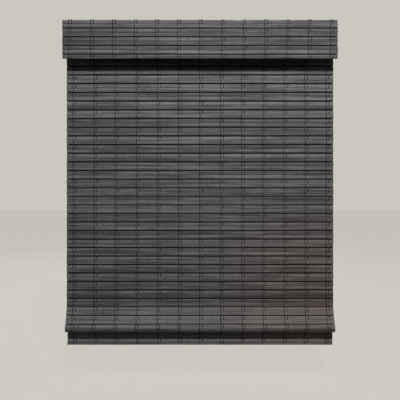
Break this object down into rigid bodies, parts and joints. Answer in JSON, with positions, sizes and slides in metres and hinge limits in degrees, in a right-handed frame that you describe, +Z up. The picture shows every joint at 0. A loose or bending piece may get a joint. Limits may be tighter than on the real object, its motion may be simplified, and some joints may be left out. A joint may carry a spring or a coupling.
{
  "type": "bamboo roman shade",
  "caption": "Cordless roman shade of charcoal-stained bamboo slats woven on twine, hanging lowered from a headrail with a short valance, and folding up in flaps.",
  "frame": {"origin": "on the ceiling plane, at the middle of the four bracket screws", "axes": "+X along the width to the right as seen from the room, +Y towards the window, +Z up"},
  "size_m": [0.762, 0.0541, 0.9144],
  "materials": {
    "stained_bamboo": "matt stain",
    "twine": "matt twisted twine",
    "lift_cord": "braided cord",
    "stained_lath": "matt stain",
    "rail_paint": "satin paint",
    "plated_steel": "zinc plate",
    "spring_steel": "blued",
    "moulded_plastic": "fine matt"
  },
  "bodies": {
    "headrail": {"headrail_channel": "rail_paint", "end_cap_left": "moulded_plastic", "end_cap_right": "moulded_plastic", "bracket_left": "plated_steel", "bracket_right": "plated_steel", "hanging_strip": "stained_lath", "valance_strip": "stained_lath", "valance_slats": "stained_bamboo", "valance_twine": "twine", "top_slats": "stained_bamboo", "top_twine": "twine", "spool_cradle_left": "moulded_plastic", "spool_cradle_right": "moulded_plastic", "motor_housing": "moulded_plastic", "spring_axle": "plated_steel", "spring_ribbon": "spring_steel", "lift_cords_1": "lift_cord"},
    "lift_shaft": {"drive_shaft": "plated_steel", "cord_spool_left": "moulded_plastic", "cord_spool_right": "moulded_plastic", "motor_drum": "moulded_plastic"},
    "spring_store": {"spring_spool": "moulded_plastic"},
    "upper_flap_1": {"upper_flap_slats_1": "stained_bamboo", "upper_flap_twine_1": "twine"},
    "lower_flap_1": {"lower_flap_slats_1": "stained_bamboo", "lower_flap_twine_1": "twine"},
    "ring_row_1": {"ring_slat_1": "stained_bamboo", "ring_slat_twine_1": "twine", "lift_rings_1": "moulded_plastic", "lift_cords_2": "lift_cord"},
    "upper_flap_2": {"upper_flap_slats_2": "stained_bamboo", "upper_flap_twine_2": "twine"},
    "lower_flap_2": {"lower_flap_slats_2": "stained_bamboo", "lower_flap_twine_2": "twine"},
    "ring_row_2": {"ring_slat_2": "stained_bamboo", "ring_slat_twine_2": "twine", "lift_rings_2": "moulded_plastic", "lift_cords_3": "lift_cord"},
    "upper_flap_3": {"upper_flap_slats_3": "stained_bamboo", "upper_flap_twine_3": "twine"},
    "lower_flap_3": {"lower_flap_slats_3": "stained_bamboo", "lower_flap_twine_3": "twine"},
    "ring_row_3": {"ring_slat_3": "stained_bamboo", "ring_slat_twine_3": "twine", "lift_rings_3": "moulded_plastic", "lift_cords_4": "lift_cord"},
    "upper_flap_4": {"upper_flap_slats_4": "stained_bamboo", "upper_flap_twine_4": "twine"},
    "lower_flap_4": {"lower_flap_slats_4": "stained_bamboo", "lower_flap_twine_4": "twine"},
    "bottom_fold": {"lift_rings_4": "moulded_plastic", "bottom_fold_slats": "stained_bamboo", "bottom_fold_twine": "twine", "tail_slats": "stained_bamboo", "tail_twine": "twine", "bottom_bar": "stained_lath", "bar_caps": "moulded_plastic", "cord_anchors": "moulded_plastic", "cord_ends": "lift_cord"}
  },
  "joints": [
    {"name": "shaft_turn", "type": "hinge", "parent": "headrail", "child": "lift_shaft", "pos_m": [0, 0.0095, -0.0165], "axis": [1, 0, 0], "range_deg": [0, 3490]},
    {"name": "store_turn", "type": "hinge", "parent": "headrail", "child": "spring_store", "pos_m": [0, -0.0095, -0.0165], "axis": [1, 0, 0], "range_deg": [-3490, 0]},
    {"name": "fold_1", "type": "hinge", "parent": "headrail", "child": "upper_flap_1", "pos_m": [0, 0.00805, -0.11], "axis": [-1, 0, 0], "range_deg": [0, 85], "deforming": ["lift_cords_1"]},
    {"name": "crease_1", "type": "hinge", "parent": "upper_flap_1", "child": "lower_flap_1", "pos_m": [0, 0.01195, -0.19733], "axis": [-1, 0, 0], "range_deg": [-170, 0]},
    {"name": "return_1", "type": "hinge", "parent": "lower_flap_1", "child": "ring_row_1", "pos_m": [0, 0.00805, -0.28465], "axis": [-1, 0, 0], "range_deg": [0, 85]},
    {"name": "fold_2", "type": "hinge", "parent": "ring_row_1", "child": "upper_flap_2", "pos_m": [0, 0.00805, -0.28465], "axis": [-1, 0, 0], "range_deg": [0, 85], "deforming": ["lift_cords_2"]},
    {"name": "crease_2", "type": "hinge", "parent": "upper_flap_2", "child": "lower_flap_2", "pos_m": [0, 0.01195, -0.3711], "axis": [-1, 0, 0], "range_deg": [-170, 0]},
    {"name": "return_2", "type": "hinge", "parent": "lower_flap_2", "child": "ring_row_2", "pos_m": [0, 0.00805, -0.45755], "axis": [-1, 0, 0], "range_deg": [0, 85]},
    {"name": "fold_3", "type": "hinge", "parent": "ring_row_2", "child": "upper_flap_3", "pos_m": [0, 0.00805, -0.45755], "axis": [-1, 0, 0], "range_deg": [0, 85], "deforming": ["lift_cords_3"]},
    {"name": "crease_3", "type": "hinge", "parent": "upper_flap_3", "child": "lower_flap_3", "pos_m": [0, 0.01195, -0.54295], "axis": [-1, 0, 0], "range_deg": [-170, 0]},
    {"name": "return_3", "type": "hinge", "parent": "lower_flap_3", "child": "ring_row_3", "pos_m": [0, 0.00805, -0.62835], "axis": [-1, 0, 0], "range_deg": [0, 85]},
    {"name": "fold_4", "type": "hinge", "parent": "ring_row_3", "child": "upper_flap_4", "pos_m": [0, 0.00805, -0.62835], "axis": [-1, 0, 0], "range_deg": [0, 85], "deforming": ["lift_cords_4"]},
    {"name": "crease_4", "type": "hinge", "parent": "upper_flap_4", "child": "lower_flap_4", "pos_m": [0, 0.01195, -0.71288], "axis": [-1, 0, 0], "range_deg": [-170, 0]},
    {"name": "return_4", "type": "hinge", "parent": "lower_flap_4", "child": "bottom_fold", "pos_m": [0, 0.00805, -0.7974], "axis": [-1, 0, 0], "range_deg": [0, 85]}
  ],
  "couplings": [
    {"joint": "store_turn", "follows": "shaft_turn", "ratio": -1},
    {"joint": "fold_1", "follows": "crease_1", "ratio": -0.5},
    {"joint": "return_1", "follows": "crease_1", "ratio": -0.5},
    {"joint": "fold_2", "follows": "crease_2", "ratio": -0.5},
    {"joint": "return_2", "follows": "crease_2", "ratio": -0.5},
    {"joint": "fold_3", "follows": "crease_3", "ratio": -0.5},
    {"joint": "return_3", "follows": "crease_3", "ratio": -0.5},
    {"joint": "fold_4", "follows": "crease_4", "ratio": -0.5},
    {"joint": "return_4", "follows": "crease_4", "ratio": -0.5}
  ]
}
